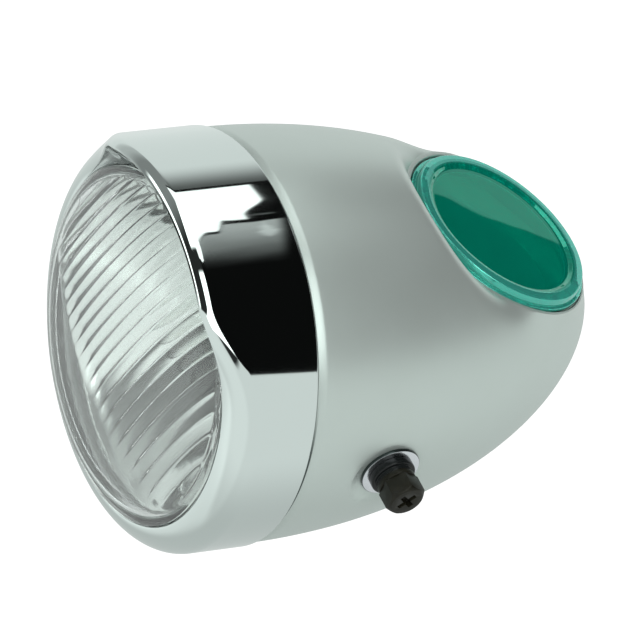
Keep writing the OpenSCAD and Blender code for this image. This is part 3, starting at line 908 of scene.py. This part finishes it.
def make_rim():
    columns = 480
    angles = np.arange(columns) * math.tau / columns
    from_top = (angles + math.pi) % math.tau - math.pi
    sections = np.array([rim_section(angle) for angle in from_top])
    sections = np.concatenate([sections, sections[:, :1]], axis=1)
    across = np.stack([np.sin(angles), 0 * angles, np.cos(angles)], axis=1)
    places = sections[..., :1] * across[:, None]
    places[..., 1] = -sections[..., 1]
    places = places.transpose(1, 0, 2)
    faces = quads(places.shape[0], columns)
    rim = from_arrays("peaked_rim", places.reshape(-1, 3), faces, CHROME, smooth_angle=50)
    screw_place = frame_along((0, 0, -1), (0, -RIM_BACK - RIM_SCREW_FORWARD, -RIM_R))
    bored(rim, screw_place, RIM_SCREW_HOLE_R, 3)
    fitted(rim, "chrome", "rim")


def dome(radius):
    """Height of the lens dome over its edge."""
    return DOME_HEIGHT * np.clip(1 - (radius / LENS_OPEN_R) ** DOME_SHAPE, 0, 1) ** DOME_EDGE


def flute_columns(radius):
    """Angles of the flute lines' ends round a disc, fine enough to draw each flute."""
    spacing = FLUTE_PITCH / 10
    count = int((radius - 1.5) / spacing)
    lines = np.arange(-count, count + 1) * spacing
    edge = math.acos(count * spacing / radius)
    border = np.linspace(0, edge, 16)[:-1]
    return np.concatenate([border, np.arccos(lines[::-1] / radius), math.pi - border[::-1]])


def flute_height(across, along):
    """How far a flute stands out of the lens's inner face."""
    share = across / FLUTE_PITCH
    wave = 2 * np.abs(share - np.round(share))
    rib = np.sqrt(np.clip(1 - FLUTE_ROUNDNESS * wave**2, 0, 1))
    fade = np.where(along > 0, FLUTE_TOP_FADE, FLUTE_LOW_FADE)
    inside = smooth_step((FLUTE_R - np.hypot(across, along)) / fade)
    above = smooth_step((along - FLUTE_END) / FLUTE_END_FADE)
    return FLUTE_DEPTH * rib * inside * above


def fluted_disc(ends, disc_r, inner_r):
    """Places of the lens's fluted inner face, in lines that run along the flutes."""
    share = np.linspace(-1, 1, 141)
    across = disc_r * np.cos(ends)[:, None] + 0 * share[None]
    along = disc_r * np.sin(ends)[:, None] * share[None]
    radius = np.hypot(across, along)
    forward = LENS_FRONT - GLASS + dome(radius * LENS_OPEN_R / inner_r) - flute_height(across, along)
    return np.stack([across, along, forward], axis=-1)


def lens_profile(disc_r, inner_r):
    """The rest of the lens as (radius, forward): inner border, flange and outer face."""
    radii = disc_r + (inner_r - disc_r) * np.sin(np.linspace(0, math.pi / 2, 12))
    border = [(r, LENS_FRONT - GLASS + dome(r * LENS_OPEN_R / inner_r)) for r in radii]
    dome_r = LENS_OPEN_R - 0.3
    flange = [
        (inner_r, LENS_BACK + 0.3), (inner_r + 0.3, LENS_BACK),
        (LENS_FLANGE_R - 0.3, LENS_BACK), (LENS_FLANGE_R, LENS_BACK + 0.3),
        (LENS_FLANGE_R, LENS_SEAT - 0.4), (LENS_FLANGE_R - 0.3, LENS_SEAT - 0.1),
        (dome_r + 0.2, LENS_SEAT - 0.1), (dome_r, LENS_SEAT + 0.1),
    ]
    outside = [(r, LENS_FRONT + dome(r)) for r in dome_r * np.cos(np.linspace(0, math.pi / 2, 48))]
    return np.array(border + flange + outside)


def make_lens():
    inner_r = LENS_OPEN_R - GLASS - 0.4
    disc_r = FLUTE_R + 0.5
    ends = flute_columns(disc_r)
    disc = fluted_disc(ends, disc_r, inner_r)
    rows, columns = disc.shape[:2]
    faces = [
        (r * columns + c, (r + 1) * columns + c, (r + 1) * columns + c + 1, r * columns + c + 1)
        for r in range(rows - 1)
        for c in range(columns - 1)
    ]
    loop = np.concatenate([ends, -ends[-2:0:-1]])
    profile = lens_profile(disc_r, inner_r)
    faces += quads(len(profile), len(loop), start=rows * columns)
    flat = np.concatenate([disc.reshape(-1, 3), swept(profile, loop)])
    lean, rise = math.sin(FLUTE_ANGLE), math.cos(FLUTE_ANGLE)
    side = flat[:, 0] * rise + flat[:, 1] * lean
    up = flat[:, 1] * rise - flat[:, 0] * lean
    places = np.stack([side, -flat[:, 2], up], axis=1)
    lens = from_arrays("fluted_lens", places, faces, CLEAR_GLASS, weld=0.0005, smooth_angle=60)
    fitted(lens, "lens_glass", "lens")


def make_reflector():
    neck_r = GLOBE_R + 0.6
    bottom = BOWL_FRONT - BOWL_R**2 / (4 * FOCAL_LENGTH)
    radii = np.linspace(BOWL_R, neck_r, 60)
    bowl = [(r, bottom + r * r / (4 * FOCAL_LENGTH)) for r in radii]
    neck_end = bowl[-1][1] - 5
    behind = [(r + 0.8, h - 0.25) for r, h in bowl[::-1]]
    outline = [(BOWL_FLANGE_R, BOWL_FRONT), (BOWL_R + 0.4, BOWL_FRONT)] + bowl
    outline += [(neck_r, neck_end), (neck_r + 0.8, neck_end)] + behind
    outline += [(BOWL_R + 1.2, BOWL_FRONT - 0.8), (BOWL_FLANGE_R, BOWL_FRONT - 0.8)]
    reflector = turned("reflector_bowl", outline, LAMP, SILVERING, columns=240)
    fitted(reflector, "silvering", "reflector")


def make_bulb():
    centre = BULB_FRONT - GLOBE_R
    shoulder = BULB_BACK + BULB_CAP_LENGTH
    neck_r, pin_r = BULB_CAP_R - 0.9, BULB_CAP_R + 1.5
    angles = np.linspace(-math.acos(neck_r / GLOBE_R), math.pi / 2, 40)

    def ball(radius):
        return [(radius * math.cos(a), centre + radius * math.sin(a)) for a in angles]

    globe_outline = [(neck_r, shoulder - 1)] + ball(GLOBE_R) + ball(GLOBE_R - BULB_WALL)[::-1]
    globe_outline += [(neck_r - BULB_WALL, shoulder - 1)]
    cap_outline = rounded([
        (0, BULB_BACK, 0), (BULB_CAP_R, BULB_BACK, 0.6), (BULB_CAP_R, shoulder - 1.2, 0.3),
        (BULB_CAP_R, shoulder, 0.5), (neck_r, shoulder, 0.2), (neck_r, shoulder - 2, 0), (0, shoulder - 2, 0),
    ])
    stem_outline = rounded([
        (0, shoulder - 2, 0), (3, shoulder - 2, 0), (1.6, centre - 5, 0.8), (0, centre - 5, 0),
    ])
    pin_outline = rounded([(0, -pin_r, 0), (1, -pin_r, 0.3), (1, pin_r, 0.3), (0, pin_r, 0)])
    across = frame_along((1, 0, 0), (0, -BULB_BACK - 6, 0))
    for name, outline, place, material, columns, slot in (
        ("bulb_globe", globe_outline, LAMP, BULB_GLASS, 96, "bulb_glass"),
        ("bulb_cap", cap_outline, LAMP, BRASS, 96, "plated_brass"),
        ("stem", stem_outline, LAMP, BULB_GLASS, 32, "bulb_glass"),
        ("bayonet_pins", pin_outline, across, BRASS, 32, "plated_brass"),
    ):
        fitted(turned(name, outline, place, material, columns=columns), slot, "bulb")


def make_cap():
    face = -0.9
    barrel_r, inner_r = CAP_BARREL_R, CAP_BARREL_R - CAP_WALL
    outline = rounded([
        (0, face, 0), (barrel_r - 1.9, face, 0), (barrel_r - 1.2, face, 0.5), (barrel_r - 0.3, -0.1, 0.5),
        (barrel_r + 0.6, 0, 0.6), (CAP_R - 0.5, 0, 0.6), (CAP_R, -1.9, 0.45), (CAP_R - 0.25, -2.2, 0.1),
        (CAP_LIP_R - 0.1, -2.25, 0.35), (CAP_LIP_R, -3.4, 0.3), (barrel_r, -3.4, 0.2),
        (barrel_r, CAP_BARREL_END, 0.3), (inner_r, CAP_BARREL_END, 0.3), (inner_r, face - 2, 0.6),
        (0, face - 1.8, 0),
    ], steps=6)
    cap = turned("green_cap", outline, AT_CAP, GREEN, columns=256)
    fitted(cap, "green_plastic", "speedometer_hole_cap")


def make_cap_seal():
    hole_r, edge_r, top = CAP_BARREL_R + 0.1, CAP_LIP_R - 0.3, SEAT_FLOOR + 0.8
    outline = rounded([
        (hole_r, SEAT_FLOOR, 0.2), (edge_r, SEAT_FLOOR, 0.3), (edge_r, top, 0.3), (hole_r, top, 0.2),
    ])
    fitted(turned("cap_seal", outline, AT_CAP, RUBBER, columns=160), "seal_rubber", "cap_gasket")


def make_side_fixings():
    bore_r, sleeve_r = BOLT_R + 0.1, COLLAR_R - 1.1
    washer = rounded([
        (BOLT_HOLE_R, PAD_X, 0.1), (WASHER_R, PAD_X, 0.15),
        (WASHER_R, WASHER_X, 0.35), (BOLT_HOLE_R, WASHER_X, 0.1),
    ])
    collar = rounded([
        (bore_r, WASHER_X, 0), (COLLAR_R, WASHER_X, 0.15), (COLLAR_R, WASHER_X + 2.08, 0.5),
        (sleeve_r, WASHER_X + 2.15, 0.2), (sleeve_r, COLLAR_X, 0.3), (bore_r, COLLAR_X, 0),
    ])
    washers, collars = [], []
    for place in (LEFT, RIGHT):
        washers.append(turned("washer", washer, place, WASHER_ZINC, columns=96))
        collars.append(turned("collar", collar, place, BLACK_COLLAR, columns=96))
    fitted(joined("seat_washers", *washers), "bright_zinc", "side_seat_washers")
    fitted(joined("ear_collars", *collars), "black_collar", "side_collars")


def make_grommet():
    centre, axis = cable_hole()
    top, bottom = -CABLE_FLAT, -CABLE_FLAT - SHELL_SHEET
    groove_r, inner_r, outer_r = CABLE_HOLE_R - 0.1, CABLE_PAD_R - 1.3, CABLE_PAD_R - 0.3
    outline = rounded([
        (CABLE_R, bottom - 1.4, 0.2), (inner_r, bottom - 1.4, 0.5), (inner_r, bottom, 0.2),
        (groove_r, bottom, 0.1), (groove_r, top, 0.1), (outer_r, top, 0.2), (outer_r, top + 1.4, 0.8),
        (CABLE_HOLE_R, top + 1.4, 0.4), (CABLE_HOLE_R - 0.5, top + 4.4, 0.6), (CABLE_R, top + 4.4, 0.2),
    ])
    grommet = turned("rubber_grommet", outline, frame_along(axis, centre), RUBBER, columns=72)
    fitted(grommet, "seal_rubber", "cable_grommet")


SOFT_EDGED = {
    "side_bolts": (BLACK_STEEL, 0.22, "blackened_steel"),
    "side_spring_washers": (BLACK_STEEL, 0.15, "blackened_steel"),
    "side_nuts": (ZINC, 0.2, "bright_zinc"),
    "rim_screw": (ZINC, 0.12, "bright_zinc"),
    "rim_screw_nut": (ZINC, 0.12, "bright_zinc"),
    "rim_hook": (SPRING_STEEL, 0.12, "spring_steel"),
    "retaining_clips": (SPRING_STEEL, 0.1, "spring_steel"),
    "bulb_holder": (BRASS, 0.12, "plated_brass"),
    "contact_plate": (PAPER, 0.15, "pressed_paper"),
    "contact_pins": (BRASS, 0.15, "plated_brass"),
    "terminal_tabs": (BRASS, 0.12, "plated_brass"),
    "earth_tab": (BRASS, 0.12, "plated_brass"),
    "lens_gasket": (PALE_RUBBER, 0.15, "seal_rubber"),
    "cap_spring_ring": (SPRING_STEEL, 0.0, "spring_steel"),
}


def make_small_parts():
    for node, (material, edge_round, slot) in SOFT_EDGED.items():
        fitted(with_soft_edges(node, material, edge_round), slot, node)


def camera():
    """A camera at the photograph's place, its axes worked out from three angles."""
    distance = 2165
    pixels_per_mm = 3.6677
    aim_right, aim_up = 0.347, -3.96
    image, sensor = 620, 36
    back = VIEW_BACK
    level = Vector((math.cos(VIEW_AZIMUTH), math.sin(VIEW_AZIMUTH), 0))
    upright = back.cross(level)
    right = level * math.cos(VIEW_ROLL) + upright * math.sin(VIEW_ROLL)
    up = back.cross(right)
    data = bpy.data.cameras.new("camera")
    data.sensor_width = sensor
    data.lens = pixels_per_mm * distance * sensor / image
    data.clip_start, data.clip_end = 0.1, 50
    rig = in_scene("camera", data)
    turn = Matrix((right, up, back)).transposed().to_4x4()
    rig.matrix_world = Matrix.Translation((back * distance - right * aim_right - up * aim_up) * MM) @ turn
    bpy.context.scene.camera = rig


def glowing(graph, level):
    """The graph's material, shining with a level of the backdrop's tint."""
    tree = graph.tree
    tree.nodes.remove(tree.nodes["Principled BSDF"])
    colour = graph.node("VectorMath", {"operation": "SCALE"}, Vector=BACKDROP_TINT, Scale=level)
    light = graph.node("Emission", Color=colour)
    tree.links.new(light.socket, tree.nodes["Material Output"].inputs["Surface"])
    return graph.material


def light_in_front(graph, x, y, z):
    """Pale surroundings, brighter before the lamp, with a dark doorway there."""
    in_front = graph.fall(y, -0.5, -0.3)
    level = graph.mix(graph.rise(z, -0.9, -0.3), BELOW_LIGHT, SIDE_LIGHT)
    glow = graph.band(z, -0.95, -0.8, -0.55, -0.3) * graph.fall(x, 0.15, 0.4)
    level = level * (1 + 0.1 * in_front + 0.28 * in_front * glow)
    doorway = graph.band(x, -0.74, -0.66, 0.0, 0.2)
    doorway = doorway * graph.rise(z - 0.5 * x, -0.22, -0.04) * graph.fall(z, 0.65, 0.8)
    return graph.mix(doorway * in_front, level, DOORWAY_LIGHT)


def light_behind(graph, level, y, turn):
    """A dusky side and a shaded sector behind the lamp, and a ceiling."""
    ragged = turn + graph.sway(0.009, 4)
    behind = graph.rise(y, 0.1, 0.14)
    level = graph.mix(behind * graph.band(turn, -66, -46, -20, -19), level, DUSK_LIGHT)
    shade = graph.mix(graph.rise(ragged, -20, 8), SHADE_LIGHT, DARK_LIGHT)
    bent = -6 * graph.fall(y, 0.4, 0.465)
    shaded = graph.rise(ragged, -21.5, -21) * graph.fall(turn - bent, 65.3, 65.9)
    level = graph.mix(behind * shaded, level, shade)
    ceiling = graph.band(turn, -67.1, -66.9, 65.3, 65.9) * graph.rise(y, 0.6, 0.66)
    return graph.mix(ceiling, level, DARK_LIGHT)


def light_ahead(graph, level, y, z, turn, slant):
    """A dark room ahead of the lamp."""
    ahead = graph.fall(slant - 0.4 * graph.rise(turn, -14, -9), -0.22, -0.18)
    ahead = ahead * graph.rise(z, -0.05, 0.15) * graph.fall(turn + 40 * y, 66, 70)
    ahead = ahead * graph.rise(y + 0.35 * graph.fall(turn, 25, 45), -0.35, -0.25)
    gloom = graph.mix(graph.rise(turn, -40, -10), GLOOM_LIGHT, AHEAD_LIGHT)
    return graph.mix(ahead, level, graph.mix(graph.fall(turn, -80, -66), gloom, LEFT_LIGHT))


def backdrop_light():
    """The studio as the chrome shows it. Turn is degrees round the lamp from the top towards +X."""
    graph = Graph("backdrop_light")
    x, y, z = graph.split(graph.vector("NORMALIZE", graph.place))
    turn = x.sum("ARCTAN2", z) * (180 / math.pi)
    slant = y - 0.5 * graph.fall(turn, -50, -5)
    level = light_in_front(graph, x, y, z)
    level = light_behind(graph, level, y, turn)
    level = light_ahead(graph, level, y, z, turn, slant)
    strip = graph.rise(slant + 0.25 * graph.rise(turn, 25, 42), -0.22, -0.18)
    strip = strip * graph.fall(y - 0.15 * graph.fall(turn, -14, -8), 0.15, 0.19)
    strip = strip * (graph.band(turn, -46.5, -45.5, -9, -5) + graph.band(turn, 5, 9, 56, 61))
    level = graph.mix(strip, level, STRIP_LIGHT)
    tilt = -0.48 * x - 1.85 * y - 0.77 * z
    edge_strip = graph.band(tilt, 0.4, 0.44, 0.7, 0.76) * graph.band(turn, -62, -50, 15, 30)
    return glowing(graph, graph.mix(edge_strip, level, STRIP_LIGHT))


def window_light():
    """A near window with a ragged lower edge, and the dim wall under it."""
    graph = Graph("window_light")
    x, y, z = graph.split(graph.place)
    turn = x.sum("ARCTAN2", z) * (180 / math.pi)
    along = y * (1 / MM)
    wobble = graph.sway(0.028, 5)
    sill = turn + wobble + 18.5 - 5.5 * graph.fall(along, 80, 84) - 16 * graph.fall(along, 66, 77)
    corner = along - 101.5 + 9 * graph.rise(turn, -29.5, -20.5)
    window = graph.rise(turn, -39.6, -39.2) * graph.fall(sill, -0.3, 0.3) * graph.fall(corner, -0.6, 0.6)
    wall = graph.mix(graph.rise(turn + wobble, -17, 7), WALL_LIGHT, DARK_LIGHT)
    from_patch = (turn + 10).sum("ABSOLUTE") + (along - 97).sum("ABSOLUTE")
    wall = wall + 0.3 * graph.fall(from_patch + wobble * 2, 2, 6)
    wall = graph.mix(graph.fall(sill.sum("ABSOLUTE"), 1.4, 2.2), wall, DARK_LIGHT)
    ends = graph.rise(along + 0.22 * turn, 97, 102) + graph.fall(turn, -21, -18)
    wall = graph.mix(ends, wall, DARK_LIGHT)
    return glowing(graph, graph.mix(window, wall, WINDOW_LIGHT))


def window_panel():
    """A curved panel above the lamp that carries the window and the wall."""
    steps = 48
    turns = np.radians(np.linspace(-41, 12, steps))
    places = [(WINDOW_R * math.sin(a), y, WINDOW_R * math.cos(a)) for y in (-5, 120) for a in turns]
    faces = [(c, c + 1, steps + c + 1, steps + c) for c in range(steps - 1)]
    only_reflected(from_arrays("window_panel", places, faces, window_light()))


def sky_light():
    """Open sky beside a dark roof with an uneven edge."""
    graph = Graph("sky_light")
    across = graph.vector("DOT_PRODUCT", graph.place, SKY_SIDE, output="Value") * (1 / MM)
    from_roof = across + graph.sway(0.06, 7, detail=1) + SKY_EDGE
    return glowing(graph, graph.mix(graph.rise(from_roof, -0.4, 0.4), DARK_LIGHT, SKY_LIGHT))


def sky_panel():
    """A small disc near the cap, which the cap's flat face mirrors."""
    turn_to = frame_along(SKY_WAY, CAP_CENTRE + SKY_WAY * SKY_FAR)
    outline = [(0, -0.5), (SKY_R, -0.5), (SKY_R, 0.5), (0, 0.5)]
    panel = turned("sky_panel", outline, turn_to, sky_light(), columns=64)
    centre = turn_to.to_translation() * MM
    panel.data.transform(Matrix.Translation(-centre))
    panel.location = centre
    only_reflected(panel)


def only_reflected(piece):
    """Shows a studio piece to shiny and clear surfaces alone."""
    piece.visible_camera = False
    piece.visible_diffuse = False
    piece.visible_shadow = False


def white_world():
    """White surroundings, brighter to see than as a light."""
    world = bpy.data.worlds.new("studio")
    world.use_nodes = True
    bpy.context.scene.world = world
    background = world.node_tree.nodes["Background"]
    background.inputs["Color"].default_value = (1, 1, 1, 1)
    light = WORLD_LIGHT + (1 - WORLD_LIGHT) * shown(world.node_tree)
    put(world.node_tree, background.inputs["Strength"], light)


def lamps():
    for name, place, size, power in STUDIO_LAMPS:
        data = bpy.data.lights.new(name, "AREA")
        data.shape = "SQUARE"
        data.size = size * MM
        data.energy = power
        lamp = in_scene(name, data)
        lamp.matrix_world = frame_along(Vector(place), np.array(place) * MM)
        lamp.visible_glossy = False


def pale_floor():
    """A floor that keeps the shadow."""
    bpy.ops.mesh.primitive_plane_add(size=FLOOR_SIZE * MM, location=(0, 0, FLOOR_LEVEL * MM))
    floor = bpy.context.object
    floor.name = "floor"
    pale = {"Base_Color": (0.85, 0.85, 0.85, 1), "Roughness": 0.9, "Specular_IOR_Level": 0.0}
    finish = Finish("pale_floor", Emission_Strength=FLOOR_GLOW, **pale)
    finish.feed("Emission Color", shown(finish.tree))
    floor.data.materials.append(finish.material)


def studio():
    """Surroundings, lamps and floor, and a backdrop for the chrome to show."""
    bpy.context.scene.view_settings.view_transform = "Standard"
    white_world()
    lamps()
    pale_floor()
    bpy.ops.mesh.primitive_uv_sphere_add(segments=64, ring_count=32, radius=BACKDROP_R * MM)
    backdrop = bpy.context.object
    backdrop.name = "backdrop"
    backdrop.data.materials.append(backdrop_light())
    only_reflected(backdrop)
    window_panel()
    sky_panel()


make_shell()
make_rim()
make_lens()
make_reflector()
make_bulb()
make_cap()
make_cap_seal()
make_side_fixings()
make_grommet()
make_small_parts()
camera()
studio()
